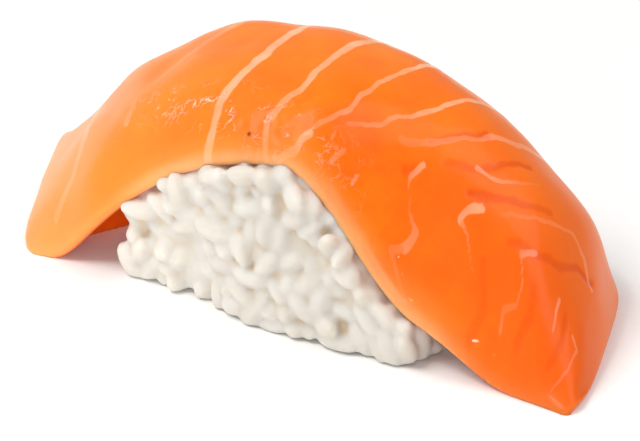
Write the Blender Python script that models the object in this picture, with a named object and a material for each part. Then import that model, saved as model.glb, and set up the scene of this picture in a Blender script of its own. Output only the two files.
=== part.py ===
"""One salmon nigiri: a raw salmon slice draped over a pressed block of rice.

Metres, +Z up, +X along the slice. The block and both ends of the slice stand on the plate, z = 0.
"""

import bmesh
import bpy
import numpy as np
from mathutils import Vector, noise
from mathutils.bvhtree import BVHTree

# Where the object's own middle lies on the working axes below.
MIDDLE_X = -0.00658
MIDDLE_Y = -0.0012

# The crest: the highest line of the slice, an arch from end to end.
CREST_HEIGHT = 0.02843
CREST_APEX_X = -0.00287
CREST_SPAN_LEFT = 0.04221
CREST_SPAN_RIGHT = 0.03593
CREST_POWER_LEFT = 2.16
CREST_POWER_RIGHT = 1.96
CREST_FULLNESS_LEFT = 1.05
CREST_FULLNESS_RIGHT = 1.9

# The drape: how the slice falls from the crest towards its two long edges.
NEAR_WIDTH = 0.0146
NEAR_FLARE = 0.05
FAR_WIDTH = 0.01448
SKEW_LEFT = 0.51
SKEW_RIGHT = 0.35
NEAR_FALL_LEFT = 0.00745
NEAR_FALL_LEFT_POWER = 3.0
NEAR_FALL_RIGHT = 0.02017
NEAR_FALL_RIGHT_POWER = 2.2
NEAR_FALL_RIGHT_START = 0.4
FALL_CHANGE_FROM_X = -0.00062
FALL_CHANGE_TO_X = 0.01739
FAR_FALL = 0.00536
FAR_FALL_POWER = 3.35
RIM_STAND = 0.0003
FALL_BLEND = 0.0012
CORNER_CUT = 0.03
CORNER_POWER = 10
BOW_LEFT = 0.0008
BOW_RIGHT = 0.0013
BOW_POWER = 4
BOW_REACH = 6

# The slice's thickness, with its pared near edge and its slack, thick left foot.
SLICE_THICKNESS = 0.0052
NEAR_PARED = 0.62
NEAR_PARED_POWER = 2.5
FAR_PARED = 0.4
FAR_PARED_POWER = 3
RIGHT_END_PARED = 0.35
RIGHT_END_POWER = 5
FOOT_THICKENING = 0.0088
FOOT_STARTS = 0.7
FOOT_FULL = 0.91
FOOT_SIDE_STARTS = -0.95
FOOT_SIDE_FULL = -0.35
FOOT_SIDE_FADES = -0.05
FOOT_SIDE_GONE = 0.65
EDGE_ROUND = 0.0013
EDGE_ROUND_SHARE = 0.42
SLICE_CELLS = (44, 20, 4)
CELL_CROWDING = 0.9

# The rice block.
RICE_MIDDLE = (-0.0021, -0.0015)
RICE_HALF = (0.0228, 0.0147)
RICE_YAW = -0.07
RICE_ROUNDING = 0.4
RICE_DOME = 0.0245
RICE_FOOT_DRAW = 0.03
RICE_FOOT_POWER = 3
RICE_SHOULDER_DRAW = 0.13
RICE_SHOULDER_POWER = 5
RICE_CELLS = (26, 16, 12)
RICE_COVER = 0.0134
GAP = 0.0004
STEEPEST = 0.3
LUMP_SIZE = 0.0045
LUMP_DEPTH = 0.0011
LUMP_FADE_POWER = 8
LEAST_HEIGHT = 0.0012

SALMON_ORANGE = (0.95, 0.2, 0.02)
SALMON_ROUGHNESS = 0.3
RICE_WHITE = (0.78, 0.74, 0.69)
RICE_ROUGHNESS = 0.4

# How finely the crest is measured, and the steps used on it.
CREST_SAMPLES = 2001
SLOPE_STEP = 0.004
LEAST_RUN = 1e-6


def clear_scene():
    for old in list(bpy.data.objects):
        bpy.data.objects.remove(old, do_unlink=True)


def smooth_step(value, start, stop):
    share = np.clip((value - start) / (stop - start), 0.0, 1.0)
    return share * share * (3 - 2 * share)


def soft_least(first, second):
    """The smaller of two lengths, without a corner where they cross."""
    return -FALL_BLEND * np.logaddexp(-first / FALL_BLEND, -second / FALL_BLEND)


def crest_height(x):
    left = x < CREST_APEX_X
    share = np.where(left, (CREST_APEX_X - x) / CREST_SPAN_LEFT, (x - CREST_APEX_X) / CREST_SPAN_RIGHT)
    power = np.where(left, CREST_POWER_LEFT, CREST_POWER_RIGHT)
    fullness = np.where(left, CREST_FULLNESS_LEFT, CREST_FULLNESS_RIGHT)
    return CREST_HEIGHT * (1 - np.clip(share, 0, 1) ** power) ** (1 / fullness)


def crest_point(along):
    """x and z of the crest, even in its own length, for along from -1 to 1."""
    angle = np.linspace(-np.pi / 2, np.pi / 2, CREST_SAMPLES)
    span = np.where(angle < 0, CREST_SPAN_LEFT, CREST_SPAN_RIGHT)
    x = CREST_APEX_X + span * np.sin(angle)
    z = crest_height(x)
    length = np.concatenate([[0], np.cumsum(np.hypot(np.diff(x), np.diff(z)))])
    wanted = (along + 1) / 2 * length[-1]
    return np.interp(wanted, length, x), np.interp(wanted, length, z), length[-1]


def skin_point(along, across):
    """A point of the slice's upper skin, for along and across from -1 to 1."""
    station = along * (1 - CORNER_CUT * np.abs(across) ** CORNER_POWER)
    crest_x, crest_z, _ = crest_point(station)
    near = np.clip(-across, 0, 1)
    far = np.clip(across, 0, 1)
    y = FAR_WIDTH * far - NEAR_WIDTH * near * (1 + NEAR_FLARE * along**2)
    x = crest_x - (SKEW_LEFT + (SKEW_RIGHT - SKEW_LEFT) * (station + 1) / 2) * y
    bow = np.where(along < 0, -BOW_LEFT, BOW_RIGHT) * (1 - np.abs(across) ** BOW_POWER)
    x = x + bow * np.abs(along) ** BOW_REACH
    to_right = smooth_step(x, FALL_CHANGE_FROM_X, FALL_CHANGE_TO_X)
    room = np.maximum(crest_z - RIM_STAND, 0)
    left_fall = soft_least(NEAR_FALL_LEFT, room) * near**NEAR_FALL_LEFT_POWER
    turn = np.clip((NEAR_FALL_RIGHT_START - across) / (NEAR_FALL_RIGHT_START + 1), 0, 1)
    right_fall = soft_least(NEAR_FALL_RIGHT, room) * turn**NEAR_FALL_RIGHT_POWER
    far_fall = soft_least(FAR_FALL, room) * far**FAR_FALL_POWER
    z = crest_z - (1 - to_right) * left_fall - to_right * right_fall - far_fall
    return np.stack([x - MIDDLE_X, y - MIDDLE_Y, z], axis=-1)


def skin_normal(along, across):
    low, high = np.maximum(along - SLOPE_STEP, -1), np.minimum(along + SLOPE_STEP, 1)
    lengthwise = skin_point(high, across) - skin_point(low, across)
    low, high = np.maximum(across - SLOPE_STEP, -1), np.minimum(across + SLOPE_STEP, 1)
    crosswise = skin_point(along, high) - skin_point(along, low)
    normal = np.cross(lengthwise, crosswise)
    return normal / np.linalg.norm(normal, axis=-1, keepdims=True)


def slice_thickness(along, across):
    near = np.clip(-across, 0, 1)
    far = np.clip(across, 0, 1)
    pared = (1 - NEAR_PARED * near**NEAR_PARED_POWER) * (1 - FAR_PARED * far**FAR_PARED_POWER)
    foot = smooth_step(-along, FOOT_STARTS, FOOT_FULL)
    foot = foot * smooth_step(across, FOOT_SIDE_STARTS, FOOT_SIDE_FULL)
    foot = foot * (1 - smooth_step(across, FOOT_SIDE_FADES, FOOT_SIDE_GONE))
    right_end = 1 - RIGHT_END_PARED * np.clip(along, 0, 1) ** RIGHT_END_POWER
    return SLICE_THICKNESS * pared * right_end + FOOT_THICKENING * foot


def slice_point(along, across, level):
    """A point of the slice, for level from -1 on its underside to 1 on its skin."""
    _, _, length = crest_point(np.zeros(1))
    to_end = (1 - np.abs(along)) * length / 2
    to_side = (1 - np.abs(across)) * NEAR_WIDTH
    thickness = slice_thickness(along, across)
    radius = np.minimum(EDGE_ROUND, EDGE_ROUND_SHARE * thickness)
    inset = 1 - np.clip(np.minimum(to_end, to_side) / radius, 0, 1)
    drawn_in = radius * (1 - np.sqrt(1 - inset**2))
    depth = thickness / 2 - (thickness / 2 - drawn_in) * level
    point = skin_point(along, across) - skin_normal(along, across) * depth[..., None]
    point[..., 2] = np.maximum(point[..., 2], 0)
    return point


def fine_box(name, cells):
    """A closed box from -1 to 1 along each axis, cut into cells."""
    bm = bmesh.new()
    bmesh.ops.create_cube(bm, size=2)
    for axis, count in enumerate(cells):
        edges = []
        for edge in bm.edges:
            run = edge.verts[1].co - edge.verts[0].co
            if run[axis] != 0:
                edges.append(edge)
        bmesh.ops.subdivide_edges(bm, edges=edges, cuts=count - 1, use_grid_fill=True)
    mesh = bpy.data.meshes.new(name)
    bm.to_mesh(mesh)
    bm.free()
    return mesh


def mesh_points(mesh):
    points = np.empty(len(mesh.vertices) * 3)
    mesh.vertices.foreach_get("co", points)
    return points.reshape(-1, 3)


def finish_mesh(mesh, points):
    """Moves the mesh to its points, turns its faces outward and shades it smooth."""
    mesh.vertices.foreach_set("co", points.ravel())
    bm = bmesh.new()
    bm.from_mesh(mesh)
    bmesh.ops.recalc_face_normals(bm, faces=bm.faces)
    bm.to_mesh(mesh)
    bm.free()
    mesh.shade_smooth()
    mesh.update()


def crowd_to_edges(value):
    """Sets a box's even cells closer together towards its two ends."""
    return np.sin(value * CELL_CROWDING * np.pi / 2) / np.sin(CELL_CROWDING * np.pi / 2)


def make_slice(collection):
    mesh = fine_box("salmon", SLICE_CELLS)
    box = mesh_points(mesh)
    points = slice_point(crowd_to_edges(box[:, 0]), crowd_to_edges(box[:, 1]), box[:, 2])
    finish_mesh(mesh, points)
    return add_object("salmon", mesh, collection)


def underside_of(slice_object):
    """A function that gives the height of the slice's underside and its slope's share of upright."""
    mesh = slice_object.data
    tree = BVHTree.FromPolygons(
        [vertex.co.copy() for vertex in mesh.vertices],
        [tuple(face.vertices) for face in mesh.polygons],
    )

    def height_over(x, y):
        y = min(max(y + MIDDLE_Y, -RICE_COVER), RICE_COVER) - MIDDLE_Y
        hit, normal, _, _ = tree.ray_cast(Vector((x, y, -CREST_HEIGHT)), Vector((0, 0, 1)))
        if hit is None:
            return 0.0, 1.0
        return hit.z, max(abs(normal.z), STEEPEST)

    return height_over


def rice_plan(a, b, height):
    """A rectangle with rounded corners, drawn in at the block's foot and at its shoulder."""
    share = height / RICE_DOME
    foot = RICE_FOOT_DRAW * (1 - share) ** RICE_FOOT_POWER
    girth = 1 - foot - RICE_SHOULDER_DRAW * share**RICE_SHOULDER_POWER
    x = RICE_HALF[0] * a * np.sqrt(1 - RICE_ROUNDING * b**2 / 2) * girth
    y = RICE_HALF[1] * b * np.sqrt(1 - RICE_ROUNDING * a**2 / 2) * girth
    turned_x = x - RICE_YAW * y
    turned_y = y + RICE_YAW * x
    return turned_x + RICE_MIDDLE[0] - MIDDLE_X, turned_y + RICE_MIDDLE[1] - MIDDLE_Y


def lump(x, y, z):
    """Uneven grain-sized swelling, from -1 to 1."""
    return noise.noise(Vector((x, y, z)) / LUMP_SIZE)


def room_under(height_over, x, y):
    """How high the rice may stand here."""
    under, upright = height_over(x, y)
    return max(min(RICE_DOME, under - GAP / upright), LEAST_HEIGHT)


def make_rice(collection, height_over):
    mesh = fine_box("rice", RICE_CELLS)
    points = []
    for a, b, c in mesh_points(mesh):
        up = (c + 1) / 2
        x, y = rice_plan(a, b, RICE_DOME)
        height = room_under(height_over, x, y) * up
        x, y = rice_plan(a, b, height)
        outer = max(abs(a), abs(b)) ** LUMP_FADE_POWER
        swell = LUMP_DEPTH * lump(x, y, height) * outer
        x += swell * a
        y += swell * b
        dip = LUMP_DEPTH * (0.5 + 0.5 * lump(y, x, 0.0))
        room = max(room_under(height_over, x, y) - dip, LEAST_HEIGHT)
        points.append((x, y, min(height, room * up**0.5)))
    finish_mesh(mesh, np.array(points))
    return add_object("rice", mesh, collection)


def add_object(name, mesh, collection):
    made = bpy.data.objects.new(name, mesh)
    collection.objects.link(made)
    return made


def coat(piece, name, colour, roughness):
    """Gives the piece its own plain finish."""
    material = bpy.data.materials.new(name)
    material.use_nodes = True
    shader = material.node_tree.nodes["Principled BSDF"]
    shader.inputs["Base Color"].default_value = (*colour, 1.0)
    shader.inputs["Roughness"].default_value = roughness
    shader.inputs["Metallic"].default_value = 0.0
    piece.data.materials.append(material)


def build():
    clear_scene()
    nigiri = bpy.data.collections.new("salmon_nigiri")
    bpy.context.scene.collection.children.link(nigiri)
    slice_object = make_slice(nigiri)
    coat(slice_object, "raw_salmon", SALMON_ORANGE, SALMON_ROUGHNESS)
    rice_object = make_rice(nigiri, underside_of(slice_object))
    coat(rice_object, "cooked_rice", RICE_WHITE, RICE_ROUGHNESS)


build()
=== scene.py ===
"""Looks of one salmon nigiri: raw salmon slice, cooked rice grains, pale studio floor. Metres, +Z up."""

import math

import bmesh
import bpy
import numpy as np
from mathutils import Matrix, Vector, noise
from mathutils.bvhtree import BVHTree
from mathutils.kdtree import KDTree


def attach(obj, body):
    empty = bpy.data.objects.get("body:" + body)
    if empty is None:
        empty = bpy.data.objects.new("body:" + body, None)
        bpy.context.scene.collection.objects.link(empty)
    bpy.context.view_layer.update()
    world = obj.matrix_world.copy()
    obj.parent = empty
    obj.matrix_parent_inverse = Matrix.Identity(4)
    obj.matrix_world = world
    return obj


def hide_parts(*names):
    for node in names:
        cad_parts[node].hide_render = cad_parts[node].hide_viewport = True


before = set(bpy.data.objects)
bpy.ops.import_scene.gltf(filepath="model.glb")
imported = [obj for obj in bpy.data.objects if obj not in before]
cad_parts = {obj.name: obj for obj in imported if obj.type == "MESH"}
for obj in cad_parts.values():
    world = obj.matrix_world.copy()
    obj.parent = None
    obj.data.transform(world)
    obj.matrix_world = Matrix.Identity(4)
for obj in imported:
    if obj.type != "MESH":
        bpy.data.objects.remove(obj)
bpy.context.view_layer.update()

MM = 0.001

# Where the object's own middle lies on the slice's working axes.
MIDDLE_X = -0.00658
MIDDLE_Y = -0.0012

# The crest: the highest line of the slice, an arch from end to end.
CREST_HEIGHT = 0.02843
CREST_APEX_X = -0.00287
CREST_SPAN_LEFT = 0.04221
CREST_SPAN_RIGHT = 0.03593
CREST_POWER_LEFT = 2.16
CREST_POWER_RIGHT = 1.96
CREST_FULLNESS_LEFT = 1.05
CREST_FULLNESS_RIGHT = 1.9

# The drape: how the slice falls from the crest towards its two long edges.
NEAR_WIDTH = 0.0146
NEAR_FLARE = 0.05
FAR_WIDTH = 0.01448
SKEW_LEFT = 0.51
SKEW_RIGHT = 0.35
NEAR_FALL_LEFT = 0.00745
NEAR_FALL_LEFT_POWER = 3.0
NEAR_FALL_RIGHT = 0.02017
NEAR_FALL_RIGHT_POWER = 2.2
NEAR_FALL_RIGHT_START = 0.4
FALL_CHANGE_FROM_X = -0.00062
FALL_CHANGE_TO_X = 0.01739
FAR_FALL = 0.00536
FAR_FALL_POWER = 3.35
RIM_STAND = 0.0003
FALL_BLEND = 0.0012
CORNER_CUT = 0.03
CORNER_POWER = 10
BOW_LEFT = 0.0008
BOW_RIGHT = 0.0013
BOW_POWER = 4
BOW_REACH = 6

# The slice's thickness, with its pared near edge and its slack, thick left foot.
SLICE_THICKNESS = 0.0052
NEAR_PARED = 0.62
NEAR_PARED_POWER = 2.5
FAR_PARED = 0.4
FAR_PARED_POWER = 3
RIGHT_END_PARED = 0.35
RIGHT_END_POWER = 5
FOOT_THICKENING = 0.0088
FOOT_STARTS = 0.7
FOOT_FULL = 0.91
FOOT_SIDE_STARTS = -0.95
FOOT_SIDE_FULL = -0.35
FOOT_SIDE_FADES = -0.05
FOOT_SIDE_GONE = 0.65
EDGE_ROUND = 0.0013
EDGE_ROUND_SHARE = 0.42
CORNER_ROUND = 0.0026
TIP_ROUND = 0.0075
SLICE_CELLS = (370, 112, 6)
CELL_CROWDING = 0.9
CREST_SAMPLES = 2001
SLOPE_STEP = 0.004
LEAST_RUN = 1e-6
# How the thick foot is tucked in under itself where it meets the floor.
FLOOR_TUCK = 0.7
FOOT_TUCK_STARTS = 0.5
FOOT_TUCK_FADES = 0.7
FOOT_TUCK_GONE = 0.9
SHARP_FOLD_DEGREES = 50

# White fat seams between the flakes of muscle. For each: its width in mm, how plainly it shows at its
# first and last place, and its places, each as mm along the slice and the share of the way across.
FAT_SEAMS = (
    (1.6, 0.15, 0.42, (-43, -0.8), (-40.5, -0.55), (-39, -0.2), (-39.5, 0.3), (-39, 0.9)),
    (1.3, 0.25, 0.05, (-28.5, -0.5), (-27.5, -0.25)),
    (1.8, 0.05, 0.35, (-25, -0.15), (-21, 0.1), (-17, 0.3), (-13.5, 0.5), (-10, 0.95)),
    (1.3, 0.35, 0.72, (-13.5, -1), (-12.5, -0.85), (-12, -0.65), (-10.5, -0.5), (-7.5, -0.2), (-4, 0.4), (-1.5, 0.9)),
    (1.1, 0.15, 0.8, (-4.5, -1), (-5, -0.8), (-1, -0.5), (1.5, -0.1), (5.5, 0.5), (9, 0.95)),
    (0.7, 0.15, 0.35, (-3.5, -1), (-0.5, -0.9), (1, -0.8)),
    (0.75, 0.14, 0.78, (1.5, -0.75), (5.5, -0.5), (8.5, -0.1), (10.5, 0.15), (13, 0.5), (16, 0.95)),
    (0.65, 0.1, 0.74, (5.5, -0.6), (9.5, -0.4), (13, -0.2), (16.5, 0.05), (21, 0.5), (26, 0.95)),
    (0.8, 0.1, 0.45, (12, -0.4), (16, -0.25), (22, 0.05), (24, 0.2), (27, 0.35), (32, 0.8)),
    (0.55, 0.4, 0.05, (22.5, -0.15), (24.5, -0.15), (27.5, -0.05), (31.5, 0.15)),
    (0.6, 0.42, 0.25, (15.5, -0.4), (14, -0.5)),
    (0.4, 0.2, 0.08, (14, -0.5), (14, -0.55), (14.5, -0.65)),
    (0.6, 0.12, 0.3, (14.5, -0.65), (15.5, -0.7), (14, -0.8)),
    (0.45, 0.16, 0.05, (14, -0.8), (12.5, -0.85), (13.5, -0.9), (15, -0.95)),
    (0.7, 0.48, 0.35, (24, -0.35), (23, -0.4), (21, -0.5)),
    (0.4, 0.2, 0.02, (21, -0.5), (22.5, -0.55), (23.5, -0.65), (24.5, -0.7)),
    (0.6, 0.03, 0.26, (26.5, -0.3), (29.5, -0.2), (33.5, -0.05), (38, 0.15), (41, 0.15), (44, 0.05)),
    (0.55, 0.36, 0.28, (33, -0.3), (30.5, -0.4)),
    (0.4, 0.26, 0.12, (30.5, -0.4), (31, -0.45), (31.5, -0.55), (31, -0.65)),
    (0.5, 0.08, 0.14, (31, -0.65), (29, -0.7), (29, -0.8)),
    (0.6, 0.36, 0.2, (38.5, -0.4), (38, -0.5), (38, -0.6)),
    (0.55, 0.28, 0.1, (42.5, -0.5), (44, -0.55), (42.5, -0.75), (40, -0.9)),
    (0.35, 0.3, 0.15, (4, -0.85), (5.5, -0.72)),
    (0.4, 0.3, 0.2, (6.9, -0.8), (7.5, -0.75)),
)
# Grooves where one flake laps over the next: width in mm, showing, places.
LAPS = (
    (0.8, 0.5, 0.7, (16, -0.25), (19.5, -0.05), (23, 0.15)),
    (0.8, 0.5, 0.9, (18, -0.3), (23, -0.15), (25.5, 0), (29.5, 0.25)),
    (0.8, 0.9, 0.6, (22, -0.35), (27, -0.2), (34, 0.05)),
    (1.0, 0.5, 1.0, (28.5, -0.4), (33.5, -0.3), (37.5, -0.2), (40.5, 0), (43.5, 0.1)),
    (0.9, 0.6, 0.4, (13, -0.5), (14.5, -0.45)),
    (1.2, 0.3, 0.4, (25, -0.6), (26, -0.75), (24.5, -0.9)),
    (1.2, 0.4, 0.5, (33.5, -0.5), (33.5, -0.65), (32, -0.8)),
    (1.2, 0.5, 0.4, (40.5, -0.45), (40.5, -0.6), (38.5, -0.8)),
)
# Painted highlights: tiny pale dots for glints of wet light, no bigger than a pinhead: mm along, share of the way
# across, radius in mm.
PAINTED_GLINTS = (
    (25.1, -0.9, 0.22),
    (25.4, -0.895, 0.26),
    (25.7, -0.89, 0.24),
    (26.0, -0.885, 0.18),
    (28.6, -0.89, 0.24),
    (28.4, -0.87, 0.16),
    (15.5, -0.93, 0.2),
    (15.8, -0.93, 0.24),
    (16.1, -0.925, 0.18),
    (14.2, -0.88, 0.18),
    (13.5, -0.84, 0.16),
)
SEAM_WAVER = 0.36
SEAM_WAVER_SIZE = 2.6
SEAM_FRAY = 0.12
SEAM_FRAY_SIZE = 0.9

# The swell of the far right shoulder: mm along, share across, and how far it spreads each way.
SWELL_PLACE = 38.0
SWELL_ACROSS = 0.5
SWELL_LENGTH = 7.0
SWELL_WIDTH = 0.45
SWELL_HEIGHT = 0.0006

# The paled near rim: mm along where it fades in from the foot and out to the right, and how much.
RIM_PALES_FROM_FOOT = (-32, -18)
RIM_PALES_AT_FOOT = 0.25
RIM_PALES_TO_RIGHT = (14, 28)
RIM_PALES_LESS = 0.85

# Relief, in metres: laps sunk, seams proud, and the slack roll and dimples of soft flesh.
LAP_DEPTH = 0.00015
SEAM_STAND = 0.00006
SKIN_ROLL = 0.00028
SKIN_ROLL_SIZE = 0.009
DIMPLE_DEPTH = 0.00009
DIMPLE_SIZE = 0.0011

# The wet band on the near shoulder: mm along, share across of its middle, and how plainly it shows.
WET_BAND_AT = (-34, -19, -4, 6, 15, 26)
WET_BAND_ACROSS = (-0.3, -0.56, -0.8, -0.78, -0.74, -0.86)
WET_BAND_WIDTH = 0.14
WET_SHOWS_AT = (-32, -24, -18, -4, 2, 8, 13)
WET_SHOWS = (0, 0.5, 1, 1, 0.36, 0.1, 0)

# A speck of dark spice on the near side of the slice: mm along, share across, radius in mm.
DARK_SPECK = (-7.1, -0.87, 0.45)
SPOT_CORE = 0.4

# What make_salmon paints on the slice, point by point, for its finish to read.
PAINTED_ON_SALMON = (
    "seam",
    "seam_show",
    "lap",
    "lap_show",
    "pared",
    "feather_edge",
    "crown_painted_light",
    "shoulder_wet",
    "place",
    "under",
)

# Cooked short-grain rice, grain by grain, in mm. Its sticky grains are pressed until they join.
GRAIN_SEED = 41
GRAIN_LENGTH = 4.9
GRAIN_THICKNESS = 2.7
GRAIN_FLATNESS = 0.86
GRAIN_SIZE_SPREAD = 0.14
GRAIN_SIDES = 14
GRAIN_RINGS = 11
GRAIN_SPACING = 2.55
SHELL_DEPTH = 3.4
GRAIN_STANDS_OUT = 0.15
RIM_GRAINS_STAND_OUT = 1.5
# The foot of the near face goes in and out along the block: mm up where it fades, mm along, mm out.
FOOT_LINE_FADES = (4, 10)
FOOT_LINE_AT = (-18, -12, -8, -4, 1, 5, 9, 14)
FOOT_LINE_OUT = (0, 0, -1.3, -0.6, 0.6, 0.6, 0.3, 0)
# Grains start on a shaken grid, up to a little outside the block, turned to lie along its skin.
GRID_SHAKE = 0.45
STARTS_OUTSIDE = 1.2
LIES_ALONG_SKIN = 0.75
# Then they push each other apart and the block's skin holds them in, round after round.
PRESSED_CLOSENESS = 0.72
PACKING_ROUNDS = 70
CROWD_DAMPING = 0.6
BALL_INSIDE = 0.92
SKIN_PUSH = 0.8
# Where grains stand out under the slice's near rim: mm towards the near side, how fast it sets in
# with the skin's slope, and mm along where it mostly stops.
UNDER_RIM_FROM = (8.5, 12.0)
UNDER_RIM_SLOPE = 3
UNDER_RIM_ENDS = (13, 18)
UNDER_RIM_ENDS_BY = 0.7
# How one grain differs from the next.
GRAIN_TAPER = 0.14
GRAIN_WAIST = (-0.06, 0.04)
GRAIN_BLUNTNESS = 0.82
GRAIN_LENGTHS = (0.9, 1.06)
GRAIN_FLATNESSES = (0.92, 1.08)
GRAIN_BEND = 0.075
GRAIN_SIDE_BEND = 0.03
CORE_DEPTH = 0.85
CORE_ROUGHNESS = 0.5
CORE_FLOOR = 0.2
CORE_SMOOTHING = 3
WELD = 0.001
JOINED_CELL = 0.34
JOINED_ROUNDS = 8
EVENING_ROUNDS = 24

# Studio: the lamp held under the left arch, and the camera. Metres, degrees, millimetres of lens.
ARCH_OPENING = (-0.0285, -0.004, 0.004)
SNOOT_DEGREES = 3.0
CAMERA_TARGET = (0.0079, -0.0077, 0.012)
CAMERA_DISTANCE = 0.4227
CAMERA_AZIMUTH = 32.44
CAMERA_ELEVATION = 26.85
CAMERA_LENS = 206.7


def smooth_step(value, start, stop):
    """0 up to start, 1 from stop on, and an easy rise between, as cut flesh rounds off."""
    share = np.clip((value - start) / (stop - start), 0.0, 1.0)
    return share * share * (3 - 2 * share)


def soft_least(first, second):
    """The smaller of two lengths, without a corner where they cross."""
    return -FALL_BLEND * np.logaddexp(-first / FALL_BLEND, -second / FALL_BLEND)


def crest_height(x):
    """How high the arch stands at x."""
    left = x < CREST_APEX_X
    share = np.where(left, (CREST_APEX_X - x) / CREST_SPAN_LEFT, (x - CREST_APEX_X) / CREST_SPAN_RIGHT)
    power = np.where(left, CREST_POWER_LEFT, CREST_POWER_RIGHT)
    fullness = np.where(left, CREST_FULLNESS_LEFT, CREST_FULLNESS_RIGHT)
    return CREST_HEIGHT * (1 - np.clip(share, 0, 1) ** power) ** (1 / fullness)


def crest_point(along):
    """x and z of the crest, even in its own length, for along from -1 to 1."""
    angle = np.linspace(-np.pi / 2, np.pi / 2, CREST_SAMPLES)
    span = np.where(angle < 0, CREST_SPAN_LEFT, CREST_SPAN_RIGHT)
    x = CREST_APEX_X + span * np.sin(angle)
    z = crest_height(x)
    length = np.concatenate([[0], np.cumsum(np.hypot(np.diff(x), np.diff(z)))])
    wanted = (along + 1) / 2 * length[-1]
    return np.interp(wanted, length, x), np.interp(wanted, length, z), length[-1]


# Half the crest's length, end to end.
HALF_LENGTH = crest_point(np.zeros(1))[2] / 2


def skin_point(along, across):
    """A point of the slice's upper skin, for along and across from -1 to 1."""
    station = along * (1 - CORNER_CUT * np.abs(across) ** CORNER_POWER)
    crest_x, crest_z, _ = crest_point(station)
    near = np.clip(-across, 0, 1)
    far = np.clip(across, 0, 1)
    y = FAR_WIDTH * far - NEAR_WIDTH * near * (1 + NEAR_FLARE * along**2)
    x = crest_x - (SKEW_LEFT + (SKEW_RIGHT - SKEW_LEFT) * (station + 1) / 2) * y
    bow = np.where(along < 0, -BOW_LEFT, BOW_RIGHT) * (1 - np.abs(across) ** BOW_POWER)
    x = x + bow * np.abs(along) ** BOW_REACH
    to_right = smooth_step(x, FALL_CHANGE_FROM_X, FALL_CHANGE_TO_X)
    room = np.maximum(crest_z - RIM_STAND, 0)
    left_fall = soft_least(NEAR_FALL_LEFT, room) * near**NEAR_FALL_LEFT_POWER
    turn = np.clip((NEAR_FALL_RIGHT_START - across) / (NEAR_FALL_RIGHT_START + 1), 0, 1)
    right_fall = soft_least(NEAR_FALL_RIGHT, room) * turn**NEAR_FALL_RIGHT_POWER
    far_fall = soft_least(FAR_FALL, room) * far**FAR_FALL_POWER
    z = crest_z - (1 - to_right) * left_fall - to_right * right_fall - far_fall
    return np.stack([x - MIDDLE_X, y - MIDDLE_Y, z], axis=-1)


def skin_normal(along, across):
    """The outward direction of the slice's upper skin."""
    low, high = np.maximum(along - SLOPE_STEP, -1), np.minimum(along + SLOPE_STEP, 1)
    lengthwise = skin_point(high, across) - skin_point(low, across)
    low, high = np.maximum(across - SLOPE_STEP, -1), np.minimum(across + SLOPE_STEP, 1)
    crosswise = skin_point(along, high) - skin_point(along, low)
    normal = np.cross(lengthwise, crosswise)
    return normal / np.linalg.norm(normal, axis=-1, keepdims=True)


def slice_thickness(along, across):
    """The slice's thickness: pared at its edges, slack and thick at the left foot."""
    near = np.clip(-across, 0, 1)
    far = np.clip(across, 0, 1)
    pared = (1 - NEAR_PARED * near**NEAR_PARED_POWER) * (1 - FAR_PARED * far**FAR_PARED_POWER)
    foot = smooth_step(-along, FOOT_STARTS, FOOT_FULL)
    foot = foot * smooth_step(across, FOOT_SIDE_STARTS, FOOT_SIDE_FULL)
    foot = foot * (1 - smooth_step(across, FOOT_SIDE_FADES, FOOT_SIDE_GONE))
    right_end = 1 - RIGHT_END_PARED * np.clip(along, 0, 1) ** RIGHT_END_POWER
    return SLICE_THICKNESS * pared * right_end + FOOT_THICKENING * foot


def rounded_corners(along, across):
    """Draws the four square corners of the slice in to round ones."""
    radius = np.where((along > 0) & (across < 0), TIP_ROUND, CORNER_ROUND)
    end_share, side_share = radius / HALF_LENGTH, radius / NEAR_WIDTH
    to_end = np.clip((np.abs(along) - 1 + end_share) / end_share, 0, 1)
    to_side = np.clip((np.abs(across) - 1 + side_share) / side_share, 0, 1)
    drawn = np.maximum(to_end, to_side) / np.maximum(np.hypot(to_end, to_side), LEAST_RUN)
    drawn = np.where((to_end > 0) & (to_side > 0), drawn, 1)
    along = np.sign(along) * (np.abs(along) - end_share * to_end * (1 - drawn))
    across = np.sign(across) * (np.abs(across) - side_share * to_side * (1 - drawn))
    return along, across


def slice_point(along, across, level, relief):
    """A point of the slice, for level from -1 on its underside to 1 on its skin, which relief lifts."""
    to_end = (1 - np.abs(along)) * HALF_LENGTH
    to_side = (1 - np.abs(across)) * NEAR_WIDTH
    thickness = slice_thickness(along, across)
    radius = np.minimum(EDGE_ROUND, EDGE_ROUND_SHARE * thickness)
    inset = 1 - np.clip(np.minimum(to_end, to_side) / radius, 0, 1)
    drawn_in = radius * (1 - np.sqrt(1 - inset**2))
    depth = thickness / 2 - (thickness / 2 - drawn_in) * level
    lift = relief * np.clip(level, 0, 1) - depth
    along, across = rounded_corners(along, across)
    point = skin_point(along, across) + skin_normal(along, across) * lift[..., None]
    # What would pass through the floor at the left foot is tucked back under it, so no flap lies on the floor.
    below_floor = np.maximum(-point[..., 2], 0)
    thick_foot = smooth_step(-along, FOOT_TUCK_STARTS, FOOT_STARTS)
    thick_foot = thick_foot * (1 - smooth_step(np.abs(across), FOOT_TUCK_FADES, FOOT_TUCK_GONE))
    point[..., 0] -= FLOOR_TUCK * below_floor * thick_foot
    point[..., 2] = np.maximum(point[..., 2], 0)
    return point


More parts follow.
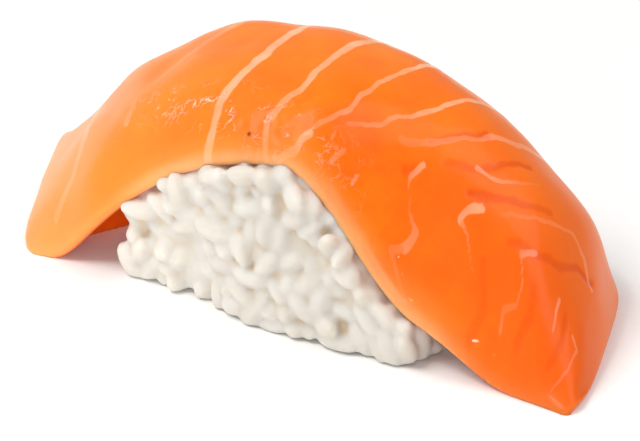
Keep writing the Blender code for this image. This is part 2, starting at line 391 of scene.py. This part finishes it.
def drawn_lines(lines, place, across, mm_across):
    """How close each point is to a line, 1 on it and 0.5 at its side, and how plainly that line shows."""
    close, shown = np.zeros_like(place), np.zeros_like(place)
    for width, first_show, last_show, *places in lines:
        runs = np.array(places, dtype=float) * (1, mm_across)
        steps = len(runs) - 1
        for index in range(steps):
            start, run = runs[index], runs[index + 1] - runs[index]
            share = ((place - start[0]) * run[0] + (across * mm_across - start[1]) * run[1]) / (run @ run)
            share = np.clip(share, 0, 1)
            away = np.hypot(place - start[0] - share * run[0], across * mm_across - start[1] - share * run[1])
            show = first_show + (last_show - first_show) * (index + share) / steps
            drawn = width * (0.5 + 0.5 * show / max(first_show, last_show))
            closer = np.clip(1 - away / drawn, 0, 1)
            shown = np.where(closer > close, show, shown)
            close = np.maximum(close, closer)
    return close, shown


def field_noise(place, across, size, seed):
    """Smooth noise over the slice's own length and width, size in metres."""
    values = []
    for u, v in zip(place * MM / size, across * NEAR_WIDTH / size):
        values.append(noise.noise(Vector((u, v, seed))))
    return np.array(values)


def shoulder_wetness(place, across):
    """The broken, dimpled band of wet film along the near shoulder, 0 to 1."""
    line = np.interp(place, WET_BAND_AT, WET_BAND_ACROSS)
    strong = np.interp(place, WET_SHOWS_AT, WET_SHOWS)
    return strong * np.exp(-(((across - line) / WET_BAND_WIDTH) ** 2))


def fine_box(name, cells):
    """A closed box from -1 to 1 along each axis, cut into cells."""
    bm = bmesh.new()
    bmesh.ops.create_cube(bm, size=2)
    for axis, count in enumerate(cells):
        edges = []
        for edge in bm.edges:
            run = edge.verts[1].co - edge.verts[0].co
            if abs(run[axis]) > LEAST_RUN:
                edges.append(edge)
        bmesh.ops.subdivide_edges(bm, edges=edges, cuts=count - 1, use_grid_fill=True)
    mesh = bpy.data.meshes.new(name)
    bm.to_mesh(mesh)
    bm.free()
    return mesh


def mesh_points(mesh):
    """Every point of a mesh, one a row."""
    points = np.empty(len(mesh.vertices) * 3)
    mesh.vertices.foreach_get("co", points)
    return points.reshape(-1, 3)


def set_points(mesh, points):
    """Moves a mesh's points, then turns its faces outward and smooths all but its sharp folds."""
    mesh.vertices.foreach_set("co", points.ravel())
    bm = bmesh.new()
    bm.from_mesh(mesh)
    bmesh.ops.recalc_face_normals(bm, faces=bm.faces)
    bm.to_mesh(mesh)
    bm.free()
    mesh.shade_smooth()
    mesh.set_sharp_from_angle(angle=math.radians(SHARP_FOLD_DEGREES))
    mesh.update()


def paint(mesh, name, values):
    """Stores one number a point, for the finish to read."""
    layer = mesh.attributes.new(name, "FLOAT", "POINT")
    layer.data.foreach_set("value", np.asarray(values, dtype=np.float32))


def crowd_to_edges(value):
    """Sets a box's even cells closer together towards its two ends."""
    return np.sin(value * CELL_CROWDING * np.pi / 2) / np.sin(CELL_CROWDING * np.pi / 2)


def add_piece(name, mesh, node, finish):
    """One piece of the nigiri, in place of its plain solid."""
    piece = bpy.data.objects.new(name, mesh)
    bpy.context.scene.collection.objects.link(piece)
    mesh.materials.append(finish)
    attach(piece, "root")
    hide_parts(node)
    return piece


def make_salmon(finish):
    """The slice at full detail: fat seams stand proud, flakes lap, and the shoulder is dimpled."""
    mesh = fine_box("salmon_slice", SLICE_CELLS)
    box = mesh_points(mesh)
    along, across, level = crowd_to_edges(box[:, 0]), crowd_to_edges(box[:, 1]), box[:, 2]
    place = along * HALF_LENGTH / MM
    mm_across = NEAR_WIDTH / MM
    waver = SEAM_WAVER * field_noise(place, across, SEAM_WAVER_SIZE * MM, 21.0)
    drift = SEAM_WAVER * field_noise(place, across, SEAM_WAVER_SIZE * MM, 33.0) / mm_across
    waver = waver + SEAM_FRAY * field_noise(place, across, SEAM_FRAY_SIZE * MM, 5.0)
    drift = drift + SEAM_FRAY * field_noise(place, across, SEAM_FRAY_SIZE * MM, 15.0) / mm_across
    seams, seam_show = drawn_lines(FAT_SEAMS, place + waver, across + drift, mm_across)
    laps, lap_show = drawn_lines(LAPS, place + waver, across + drift, mm_across)
    off_swell = ((place - SWELL_PLACE) / SWELL_LENGTH) ** 2 + ((across - SWELL_ACROSS) / SWELL_WIDTH) ** 2
    swell = np.exp(-off_swell)
    upper = np.clip(level, 0, 1)
    wet = shoulder_wetness(place, across)
    ends = smooth_step(1 - np.abs(along), 0, 0.04) * smooth_step(1 - np.abs(across), 0, 0.12)
    relief = SEAM_STAND * smooth_step(seams, 0.2, 0.9) * seam_show
    relief = relief - LAP_DEPTH * smooth_step(laps, 0.1, 0.9) * lap_show
    relief = relief + SWELL_HEIGHT * swell
    relief = relief + SKIN_ROLL * field_noise(place, across, SKIN_ROLL_SIZE, 3.0) * 2
    relief = relief + DIMPLE_DEPTH * wet * field_noise(place, across, DIMPLE_SIZE, 9.0) * 2
    points = slice_point(along, across, level, relief * ends)
    set_points(mesh, points)
    rim_share = 1 - RIM_PALES_LESS * smooth_step(place, *RIM_PALES_TO_RIGHT)
    rim_share = rim_share * (RIM_PALES_AT_FOOT + (1 - RIM_PALES_AT_FOOT) * smooth_step(place, *RIM_PALES_FROM_FOOT))
    values = {
        "seam": seams,
        "seam_show": seam_show * upper,
        "lap": laps,
        "lap_show": lap_show * upper,
        "pared": smooth_step(-across, 0.82, 1.0) * rim_share,
        "feather_edge": smooth_step(-across, 0.92, 1.0) * rim_share,
        # Where the crown and far side get their painted light.
        "crown_painted_light": smooth_step(across, -0.5, 0.1) * smooth_step(place, -8, 8),
        "shoulder_wet": wet * upper,
        "place": place,
        # Where the underside gets its painted shade and light.
        "under": np.clip(-level, 0, 1),
    }
    for name in PAINTED_ON_SALMON:
        paint(mesh, name, values[name])
    return add_piece("salmon_slice", mesh, "salmon", finish)


def grain_starts(tree, low, high, draw):
    """Grain middles on a shaken grid, kept to the outer shell of the block."""
    starts = []
    steps = [np.arange(a + GRAIN_SPACING / 2, b, GRAIN_SPACING) for a, b in zip(low, high)]
    for x in steps[0]:
        for y in steps[1]:
            for z in steps[2]:
                spot = np.array((x, y, z)) + draw.uniform(-GRID_SHAKE, GRID_SHAKE, 3) * GRAIN_SPACING
                depth, _ = depth_in(tree, spot)
                if -STARTS_OUTSIDE < depth < SHELL_DEPTH:
                    starts.append(spot)
    return np.array(starts)


def depth_in(tree, spot):
    """How deep a spot lies inside the block, in mm, and the outward direction there."""
    hit, normal, _, distance = tree.find_nearest(Vector(spot))
    if (Vector(spot) - hit).dot(normal) < 0:
        return distance, normal
    return -distance, normal


def too_far_out(ball, depth, normal, radius):
    """How far, in mm, one ball of a grain has still to go in to lie where grains may lie."""
    under_rim = smooth_step(-ball[1], *UNDER_RIM_FROM) * min(max(normal.z * UNDER_RIM_SLOPE, 0), 1)
    under_rim = under_rim * (1 - UNDER_RIM_ENDS_BY * smooth_step(ball[0], *UNDER_RIM_ENDS))
    low_front = max(-normal.y, 0) * (1 - smooth_step(ball[2], *FOOT_LINE_FADES))
    foot = np.interp(ball[0], FOOT_LINE_AT, FOOT_LINE_OUT) * low_front
    return radius * BALL_INSIDE - depth - GRAIN_STANDS_OUT - foot - RIM_GRAINS_STAND_OUT * under_rim


def pack_grains(tree, low, high):
    """Settles chains of three balls, one chain a grain, until they lie pressed together in the block."""
    draw = np.random.RandomState(GRAIN_SEED)
    middles = grain_starts(tree, low, high, draw)
    count = len(middles)
    size = 1 + GRAIN_SIZE_SPREAD * draw.uniform(-1, 1, count)
    aims = draw.normal(size=(count, 3))
    for index, spot in enumerate(middles):
        _, normal = depth_in(tree, spot)
        aims[index] -= LIES_ALONG_SKIN * aims[index].dot(normal) * np.array(normal)
    aims /= np.linalg.norm(aims, axis=1, keepdims=True)
    reach = (GRAIN_LENGTH - GRAIN_THICKNESS) / 2 * size
    radius = np.repeat(GRAIN_THICKNESS / 2 * size, 3)
    offsets = np.array((-1.0, 0.0, 1.0))
    owner = np.repeat(np.arange(count), 3)
    for _ in range(PACKING_ROUNDS):
        balls = middles[:, None] + offsets[None, :, None] * (reach[:, None] * aims)[:, None]
        balls = balls.reshape(-1, 3)
        first, second = np.nonzero(close_pairs(balls, radius, owner))
        apart = balls[first] - balls[second]
        distance = np.maximum(np.linalg.norm(apart, axis=1), 1e-6)
        wanted = PRESSED_CLOSENESS * (radius[first] + radius[second])
        push = apart / distance[:, None] * ((wanted - distance) * 0.5)[:, None]
        moves = np.zeros_like(balls)
        hits = np.zeros(len(balls))
        np.add.at(moves, first, push)
        np.add.at(hits, first, 1)
        moves /= np.maximum(hits, 1)[:, None] ** CROWD_DAMPING
        for index, ball in enumerate(balls):
            depth, normal = depth_in(tree, ball)
            lack = too_far_out(ball, depth, normal, radius[index])
            if lack > 0:
                moves[index] -= np.array(normal) * lack * SKIN_PUSH
        balls = (balls + moves).reshape(count, 3, 3)
        middles = balls.mean(axis=1)
        aims = balls[:, 2] - balls[:, 0]
        aims /= np.maximum(np.linalg.norm(aims, axis=1, keepdims=True), 1e-6)
    return middles, aims, size, draw


def close_pairs(balls, radius, owner):
    """Which balls of different grains lie closer than pressed grains do."""
    squares = (balls**2).sum(axis=1)
    apart = squares[:, None] + squares[None] - 2 * balls @ balls.T
    wanted = PRESSED_CLOSENESS * (radius[:, None] + radius[None])
    return (apart < wanted**2) & (owner[:, None] != owner[None])


def grain_shape(size, draw):
    """One grain's points about its own middle, its length on x: blunt, flattened, a little bent."""
    ring = np.linspace(0, np.pi, GRAIN_RINGS)
    side = np.linspace(0, 2 * np.pi, GRAIN_SIDES, endpoint=False)
    lengthwise, around = np.meshgrid(ring, side, indexing="ij")
    taper = 1 + draw.uniform(-GRAIN_TAPER, GRAIN_TAPER) * np.cos(lengthwise)
    waist = 1 + draw.uniform(*GRAIN_WAIST) * np.cos(2 * around + draw.uniform(0, 6))
    girth = np.sin(lengthwise) ** GRAIN_BLUNTNESS * taper * waist * GRAIN_THICKNESS / 2 * size
    x = np.cos(lengthwise) * GRAIN_LENGTH / 2 * size * draw.uniform(*GRAIN_LENGTHS)
    y = girth * np.cos(around)
    z = girth * np.sin(around) * GRAIN_FLATNESS * draw.uniform(*GRAIN_FLATNESSES)
    bend = draw.uniform(-GRAIN_BEND, GRAIN_BEND)
    z = z + bend * (x**2 - GRAIN_LENGTH**2 / 12)
    y = y + draw.uniform(-GRAIN_SIDE_BEND, GRAIN_SIDE_BEND) * x**2
    shape = np.stack([x, y, z], axis=-1)
    return np.concatenate([shape[:1, 0], shape[1:-1].reshape(-1, 3), shape[-1:, 0]])


def grain_faces():
    """Faces of one grain: a fan at each tip and bands between."""
    sides, bands = GRAIN_SIDES, GRAIN_RINGS - 2
    last = 1 + bands * sides
    faces = []
    for k in range(sides):
        after = (k + 1) % sides
        faces.append((0, 1 + k, 1 + after))
        faces.append((last, last - sides + after, last - sides + k))
        for band in range(bands - 1):
            start = 1 + band * sides
            faces.append((start + k, start + sides + k, start + sides + after, start + after))
    return faces


def rice_core(corners, polygons):
    """The pressed inside of the block, a little under the grains, with the unevenness of more grains."""
    block = bpy.data.meshes.new("rice_block")
    block.from_pydata(corners.tolist(), [], polygons)
    bm = bmesh.new()
    bm.from_mesh(block)
    bmesh.ops.remove_doubles(bm, verts=bm.verts, dist=WELD)
    bmesh.ops.recalc_face_normals(bm, faces=bm.faces)
    for _ in range(CORE_SMOOTHING):
        bmesh.ops.smooth_vert(bm, verts=bm.verts, factor=0.5, use_axis_x=True, use_axis_y=True, use_axis_z=True)
    bm.normal_update()
    moved = []
    for vert in bm.verts:
        depth = CORE_DEPTH + CORE_ROUGHNESS * noise.noise(vert.co / GRAIN_THICKNESS)
        place = vert.co - vert.normal * depth
        place.z = CORE_FLOOR if vert.co.z < depth else place.z
        moved.append(place)
    for vert, place in zip(bm.verts, moved):
        vert.co = place
    core = [tuple(v.co) for v in bm.verts]
    bm.verts.index_update()
    faces = [tuple(v.index for v in face.verts) for face in bm.faces]
    bm.free()
    bpy.data.meshes.remove(block)
    return np.array(core), faces


def joined(points, faces):
    """One skin round all the grains and the core, softened where they stick together."""
    mesh = bpy.data.meshes.new("grains_apart")
    mesh.from_pydata(points.tolist(), [], faces)
    heap = bpy.data.objects.new("grains_apart", mesh)
    bpy.context.scene.collection.objects.link(heap)
    skin = heap.modifiers.new("skin", "REMESH")
    skin.mode = "VOXEL"
    skin.voxel_size = JOINED_CELL
    soft = heap.modifiers.new("soft", "SMOOTH")
    soft.factor = 0.5
    soft.iterations = JOINED_ROUNDS
    graph = bpy.context.evaluated_depsgraph_get()
    made = bpy.data.meshes.new_from_object(heap.evaluated_get(graph))
    bpy.data.objects.remove(heap)
    keep_largest(made)
    return made


def keep_largest(mesh):
    """Takes away the skins of closed air pockets inside."""
    bm = bmesh.new()
    bm.from_mesh(mesh)
    left = set(bm.verts)
    largest = set()
    while left:
        reached = {left.pop()}
        edge = list(reached)
        while edge:
            grown = []
            for vert in edge:
                for link in vert.link_edges:
                    other = link.other_vert(vert)
                    if other not in reached:
                        reached.add(other)
                        grown.append(other)
            edge = grown
        left -= reached
        if len(reached) > len(largest):
            largest = reached
    bmesh.ops.delete(bm, geom=[v for v in bm.verts if v not in largest], context="VERTS")
    bm.to_mesh(mesh)
    bm.free()


def sunk_below_neighbours(mesh, skin):
    """How far each point lies under the evened-out skin round it, in mm."""
    ends = np.array([tuple(edge.vertices) for edge in mesh.edges])
    first, second = ends[:, 0], ends[:, 1]
    count = np.bincount(ends.ravel(), minlength=len(skin))[:, None]
    even = skin.copy()
    for _ in range(EVENING_ROUNDS):
        total = np.zeros_like(even)
        np.add.at(total, first, even[second])
        np.add.at(total, second, even[first])
        even = total / np.maximum(count, 1)
    normals = np.array([tuple(v.normal) for v in mesh.vertices])
    return ((even - skin) * normals).sum(axis=1)


def make_rice(finish):
    """Every grain of the block's outer shell, each its own shape, pressed against its neighbours."""
    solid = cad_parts["rice"].data
    corners = mesh_points(solid) / MM
    polygons = [tuple(p.vertices) for p in solid.polygons]
    tree = BVHTree.FromPolygons([Vector(c) for c in corners], polygons)
    middles, aims, sizes, draw = pack_grains(tree, corners.min(axis=0), corners.max(axis=0))
    core, faces = rice_core(corners, polygons)
    points = [core]
    template = grain_faces()
    start = len(core)
    for middle, aim, size in zip(middles, aims, sizes):
        shape = grain_shape(size, draw)
        turn = Vector(aim).to_track_quat("X", "Z").to_matrix() @ Matrix.Rotation(draw.uniform(0, 6.28), 3, "X")
        points.append(shape @ np.array(turn).T + middle)
        faces.extend(tuple(start + corner for corner in face) for face in template)
        start += len(shape)
    points = np.concatenate(points)
    points[:, 2] = np.maximum(points[:, 2], 0)
    mesh = joined(points, faces)
    skin = mesh_points(mesh)
    skin[:, 2] = np.maximum(skin[:, 2], 0)
    nearest = KDTree(len(middles))
    for index, middle in enumerate(middles):
        nearest.insert(Vector(middle), index)
    nearest.balance()
    tints = draw.uniform(0, 1, len(middles))
    paint(mesh, "grain_tint", [tints[nearest.find(Vector(p))[1]] for p in skin])
    mesh.name = "rice_grains"
    set_points(mesh, skin * MM)
    paint(mesh, "gap", sunk_below_neighbours(mesh, skin))
    return add_piece("rice_grains", mesh, "rice", finish)


def linear(hex_colour):
    """An sRGB hex colour as the linear RGBA that the shaders take."""
    parts = [int(hex_colour[i : i + 2], 16) / 255 for i in (1, 3, 5)]
    return (*[p / 12.92 if p <= 0.04045 else ((p + 0.055) / 1.055) ** 2.4 for p in parts], 1.0)


def per_metre(size_mm):
    """A texture's scale for features of this size."""
    return 1 / (size_mm * MM)


def node(tree, kind, inputs=None, **settings):
    """Adds one node with its settings, its values and its links."""
    made = tree.nodes.new(kind)
    for name, value in settings.items():
        setattr(made, name, value)
    for socket, value in (inputs or {}).items():
        if isinstance(value, bpy.types.NodeSocket):
            tree.links.new(value, made.inputs[socket])
        else:
            made.inputs[socket].default_value = value
    return made


def new_finish(name):
    """A finish with its nodes and its shader."""
    finish = bpy.data.materials.new(name)
    finish.use_nodes = True
    return finish, finish.node_tree, finish.node_tree.nodes["Principled BSDF"]


def share_of(tree, value, start, stop, low=0.0, high=1.0, kind="LINEAR"):
    """How far a value has got from start to stop, drawn out from low to high."""
    limits = {"Value": value, "From Min": start, "From Max": stop, "To Min": low, "To Max": high}
    return node(tree, "ShaderNodeMapRange", limits, interpolation_type=kind).outputs[0]


def tinted(tree, share, colour, hex_colour, strength=1.0):
    """The colour so far, turned towards another one by its share of the surface there."""
    if strength < 1:
        share = node(tree, "ShaderNodeMath", {0: share, 1: strength}, operation="MULTIPLY").outputs[0]
    return node(
        tree, "ShaderNodeMix", {0: share, 6: colour, 7: linear(hex_colour)}, data_type="RGBA"
    ).outputs[2]


def near_spot(tree, place, along_mm, across_share, radius):
    """How near the slice's skin is to one spot on it: 1 inside, 0 beyond the radius in mm."""
    along = along_mm * MM / HALF_LENGTH
    spot = skin_point(np.array([along]), np.array([across_share]))[0]
    away = node(tree, "ShaderNodeVectorMath", {0: place, 1: tuple(spot)}, operation="DISTANCE")
    return share_of(tree, away.outputs["Value"], radius * MM, radius * MM * SPOT_CORE)


def raw_salmon_flesh():
    """Raw farmed salmon, knife-cut: wet translucent orange muscle in flakes, parted by pale fat seams.

    Light goes some millimetres into the flesh, red furthest, so it glows and has no hard shadows; the
    cut face carries a thin film of moisture, which gives small sharp glints over a soft gloss. The
    colour also holds painted light: painted glints and sheen, painted shade in the laps and underneath,
    and a painted fall of light from the left end to the right.
    """
    finish, tree, shader = new_finish("raw_salmon_flesh")
    place = node(tree, "ShaderNodeTexCoord").outputs["Object"]
    painted = {}
    for name in PAINTED_ON_SALMON:
        painted[name] = node(tree, "ShaderNodeAttribute", attribute_name=name).outputs["Fac"]
    # Seams fade and break every few millimetres.
    breaks = node(tree, "ShaderNodeTexNoise", {"Vector": place, "Scale": per_metre(3.5), "Detail": 3.0})
    broken = share_of(tree, breaks.outputs["Fac"], 0.3, 0.6, 0.6)
    drawn = share_of(tree, painted["seam"], 0.36, 0.62, kind="SMOOTHSTEP")
    shown = node(tree, "ShaderNodeMath", {0: drawn, 1: painted["seam_show"]}, operation="MULTIPLY")
    seam_share = node(tree, "ShaderNodeMath", {0: shown.outputs[0], 1: broken}, operation="MULTIPLY")
    # Cloudy change of depth through the muscle, about 9 mm across.
    cloud = node(tree, "ShaderNodeTexNoise", {"Vector": place, "Scale": per_metre(9), "Detail": 3.0})
    cloudy = share_of(tree, cloud.outputs["Fac"], 0.35, 0.65)
    colour = tinted(tree, cloudy, linear("#F66800"), "#FB7A04")
    # Paler to the left end: in part painted light, as this end lies nearer the key lamp, and in part the flesh's own
    # paler tone.
    leftward = share_of(tree, painted["place"], 8.0, -45.0)
    colour = tinted(tree, leftward, colour, "#FD9236", 0.75)
    # Palest and pinkest at the very left end: in part painted light, as this end lies nearest the key lamp, and in
    # part the flesh's own tone.
    colour = tinted(tree, share_of(tree, painted["place"], -34.0, -50.0), colour, "#F99A58")
    # Redder to the right end: in part painted shade, as this end lies away from the key lamp, and in part the flesh's
    # own deeper tone.
    colour = tinted(tree, share_of(tree, painted["place"], 8.0, 38.0), colour, "#E96106")
    # Painted light: a little lighter on the crown and down the far side, where light falls from above and behind.
    colour = tinted(tree, painted["crown_painted_light"], colour, "#FF9A3C", 0.13)
    # Painted shade down in the laps: deeper orange in the grooves where one flake laps over the next.
    sunk = share_of(tree, painted["lap"], 0.25, 0.8, 0.0, 0.7, "SMOOTHSTEP")
    painted_lap_shade = node(tree, "ShaderNodeMath", {0: sunk, 1: painted["lap_show"]}, operation="MULTIPLY")
    colour = tinted(tree, painted_lap_shade.outputs[0], colour, "#D94800")
    # Painted light and shade on the underside: its most saturated orange, full in red, makes the shade under the arch
    # glow deep orange.
    colour = tinted(tree, painted["under"], colour, "#FF5A00")
    # The pared near edge is thin enough for the rice to pale it.
    colour = tinted(tree, painted["pared"], colour, "#FF9E55", 0.45)
    colour = tinted(tree, painted["feather_edge"], colour, "#FFBF8C", 0.5)
    # The seams themselves: pale peach fat.
    colour = tinted(tree, seam_share.outputs[0], colour, "#FFCCAA")
    # Pale threads about a third of a millimetre wide in the wet band: in part torn membrane, in part painted
    # highlight for the wet sparkles on the shoulder.
    film = node(tree, "ShaderNodeTexNoise", {"Vector": place, "Scale": per_metre(1.35), "Detail": 2.5})
    fold = node(tree, "ShaderNodeMath", {0: film.outputs["Fac"], 1: 0.5}, operation="SUBTRACT")
    ridge = node(tree, "ShaderNodeMath", {0: fold.outputs[0]}, operation="ABSOLUTE")
    thread_and_glint_line = share_of(tree, ridge.outputs[0], 0.035, 0.015)
    patch = node(tree, "ShaderNodeTexNoise", {"Vector": place, "Scale": per_metre(2.4), "Detail": 1.0})
    patches = share_of(tree, patch.outputs["Fac"], 0.48, 0.6)
    torn_and_glint_patches = node(tree, "ShaderNodeMath", {0: patches, 1: painted["shoulder_wet"]}, operation="MULTIPLY")
    threads_and_glints = node(tree, "ShaderNodeMath", {0: thread_and_glint_line, 1: torn_and_glint_patches.outputs[0]}, operation="MULTIPLY")
    # The threads' pale colour is in part painted highlight.
    colour = tinted(tree, threads_and_glints.outputs[0], colour, "#FFD6B8", 0.75)
    # Painted highlights: the tiny glints as pale dots.
    for spot in PAINTED_GLINTS:
        colour = tinted(tree, near_spot(tree, place, *spot), colour, "#FFDFC6")
    # One dark speck of spice, half a millimetre long.
    colour = tinted(tree, near_spot(tree, place, *DARK_SPECK), colour, "#5A2308")
    tree.links.new(colour, shader.inputs["Base Color"])
    # Knife-smooth flesh with grain under half a millimetre, and torn wet membrane on the shoulder.
    grain = node(tree, "ShaderNodeTexNoise", {"Vector": place, "Scale": per_metre(0.5), "Detail": 3.0})
    fine = node(tree, "ShaderNodeBump", {"Height": grain.outputs["Fac"], "Strength": 0.25, "Distance": 0.00006})
    dimpled = node(
        tree,
        "ShaderNodeBump",
        {"Height": threads_and_glints.outputs[0], "Strength": 1.0, "Distance": 0.0004, "Normal": fine.outputs[0]},
    )
    tree.links.new(dimpled.outputs[0], shader.inputs["Normal"])
    tree.links.new(dimpled.outputs[0], shader.inputs["Coat Normal"])
    gloss = share_of(tree, breaks.outputs["Fac"], 0.0, 1.0, 0.38, 0.5)
    tree.links.new(gloss, shader.inputs["Roughness"])
    shader.inputs["IOR"].default_value = 1.38
    shader.inputs["Specular IOR Level"].default_value = 0.15
    shader.inputs["Coat Weight"].default_value = 0.3
    shader.inputs["Coat Roughness"].default_value = 0.12
    shader.inputs["Coat IOR"].default_value = 1.33
    shader.inputs["Subsurface Weight"].default_value = 0.75
    shader.inputs["Subsurface Radius"].default_value = (1.0, 0.3, 0.1)
    shader.inputs["Subsurface Scale"].default_value = 0.003
    return finish


def steamed_rice():
    """Steamed short-grain rice, dressed with vinegar: plump, milky, sticky grains.

    A cooked grain lets light a millimetre or two in, so its edges glow, and its sticky film gives a
    low, broad gloss. Light that has crossed several grains comes back warmer, and that warm shade is
    painted into the gaps as tan.
    """
    finish, tree, shader = new_finish("steamed_rice")
    place = node(tree, "ShaderNodeTexCoord").outputs["Object"]
    grain_tint = node(tree, "ShaderNodeAttribute", attribute_name="grain_tint").outputs["Fac"]
    gap = node(tree, "ShaderNodeAttribute", attribute_name="gap").outputs["Fac"]
    # Half the change of tint is from grain to grain, and half is cloudy within a grain.
    cloud = node(tree, "ShaderNodeTexNoise", {"Vector": place, "Scale": per_metre(2.0), "Detail": 2.0})
    tint = node(tree, "ShaderNodeMath", {0: grain_tint, 1: 0.5}, operation="MULTIPLY")
    share = node(
        tree, "ShaderNodeMath", {0: cloud.outputs["Fac"], 1: 0.5, 2: tint.outputs[0]}, operation="MULTIPLY_ADD"
    )
    colour = tinted(tree, share.outputs[0], linear("#D6D2CB"), "#CCC5BA")
    # Painted warm shade in the gaps: from a tenth of a millimetre deep, and tan all through at two thirds of one.
    colour = tinted(tree, share_of(tree, gap, 0.1, 0.65), colour, "#DBC5A2")
    tree.links.new(colour, shader.inputs["Base Color"])
    skin = node(tree, "ShaderNodeTexNoise", {"Vector": place, "Scale": per_metre(0.6), "Detail": 2.0})
    bump = node(tree, "ShaderNodeBump", {"Height": skin.outputs["Fac"], "Strength": 0.3, "Distance": 0.00008})
    tree.links.new(bump.outputs[0], shader.inputs["Normal"])
    gloss = share_of(tree, cloud.outputs["Fac"], 0.0, 1.0, 0.42, 0.58)
    tree.links.new(gloss, shader.inputs["Roughness"])
    shader.inputs["IOR"].default_value = 1.4
    shader.inputs["Subsurface Weight"].default_value = 0.8
    shader.inputs["Subsurface Radius"].default_value = (1.0, 0.85, 0.65)
    shader.inputs["Subsurface Scale"].default_value = 0.0025
    return finish


def matt_paper():
    """Matt white background paper: no gloss, and a tooth too fine to see."""
    finish, tree, shader = new_finish("matt_white_paper")
    place = node(tree, "ShaderNodeTexCoord").outputs["Object"]
    tooth = node(tree, "ShaderNodeTexNoise", {"Vector": place, "Scale": per_metre(1.5), "Detail": 2.0})
    shade = node(
        tree,
        "ShaderNodeMix",
        {0: tooth.outputs["Fac"], 6: linear("#F6F5F3"), 7: linear("#FAF9F7")},
        data_type="RGBA",
    )
    tree.links.new(shade.outputs[2], shader.inputs["Base Color"])
    shader.inputs["Roughness"].default_value = 0.9
    shader.inputs["Specular IOR Level"].default_value = 0.1
    return finish


def make_floor():
    """A wide sheet of white paper under the nigiri."""
    mesh = bpy.data.meshes.new("studio_floor")
    bm = bmesh.new()
    bmesh.ops.create_grid(bm, x_segments=1, y_segments=1, size=3.0)
    bm.to_mesh(mesh)
    bm.free()
    floor = bpy.data.objects.new("studio_floor", mesh)
    bpy.context.scene.collection.objects.link(floor)
    mesh.materials.append(matt_paper())


def seen_from(azimuth, elevation):
    """Direction from the object towards a place round it, both in degrees."""
    a, e = math.radians(azimuth), math.radians(elevation)
    return Vector((math.sin(a) * math.cos(e), -math.cos(a) * math.cos(e), math.sin(e)))


def make_softbox(name, azimuth, elevation, distance, size, watts):
    """A round softbox turned to the nigiri, its size and distance in metres."""
    light = bpy.data.lights.new(name, "AREA")
    light.shape = "DISK"
    light.size = size
    light.energy = watts
    lamp = bpy.data.objects.new(name, light)
    bpy.context.scene.collection.objects.link(lamp)
    away = seen_from(azimuth, elevation)
    lamp.location = Vector(CAMERA_TARGET) + away * distance
    lamp.rotation_euler = away.to_track_quat("Z", "Y").to_euler()


def make_snoot(name, azimuth, elevation, distance, target, watts):
    """A small lamp held to one place, as a studio lights the shade under an arch."""
    light = bpy.data.lights.new(name, "SPOT")
    light.spot_size = math.radians(SNOOT_DEGREES)
    light.spot_blend = 1.0
    light.shadow_soft_size = 0.02
    light.energy = watts
    lamp = bpy.data.objects.new(name, light)
    bpy.context.scene.collection.objects.link(lamp)
    away = seen_from(azimuth, elevation)
    lamp.location = Vector(target) + away * distance
    lamp.rotation_euler = away.to_track_quat("Z", "Y").to_euler()


def make_lights():
    """Soft, even studio light: three softboxes, one small lamp for glints, one held under the arch."""
    make_softbox("key_softbox", -45, 55, 0.7, 0.4, 2.6)
    make_softbox("front_softbox", 15, 10, 0.9, 0.4, 2.2)
    make_softbox("right_softbox", 110, 58, 0.9, 0.6, 2.4)
    make_softbox("small_lamp", -20, 62, 0.7, 0.06, 0.35)
    make_snoot("arch_snoot", 24, 8, 0.5, ARCH_OPENING, 11.0)
    world = bpy.data.worlds.new("studio")
    world.use_nodes = True
    sky = world.node_tree.nodes["Background"]
    sky.inputs["Color"].default_value = linear("#FFFFFF")
    sky.inputs["Strength"].default_value = 0.46
    bpy.context.scene.world = world


def make_camera():
    """A long lens from the front right, a little above."""
    lens = bpy.data.cameras.new("camera")
    lens.lens = CAMERA_LENS
    lens.clip_start = 0.01
    camera = bpy.data.objects.new("camera", lens)
    bpy.context.scene.collection.objects.link(camera)
    away = seen_from(CAMERA_AZIMUTH, CAMERA_ELEVATION)
    camera.location = Vector(CAMERA_TARGET) + away * CAMERA_DISTANCE
    camera.rotation_euler = away.to_track_quat("Z", "Y").to_euler()
    bpy.context.scene.camera = camera


make_camera()
make_lights()
make_floor()
make_salmon(raw_salmon_flesh())
make_rice(steamed_rice())
bpy.context.scene.view_settings.view_transform = "Standard"
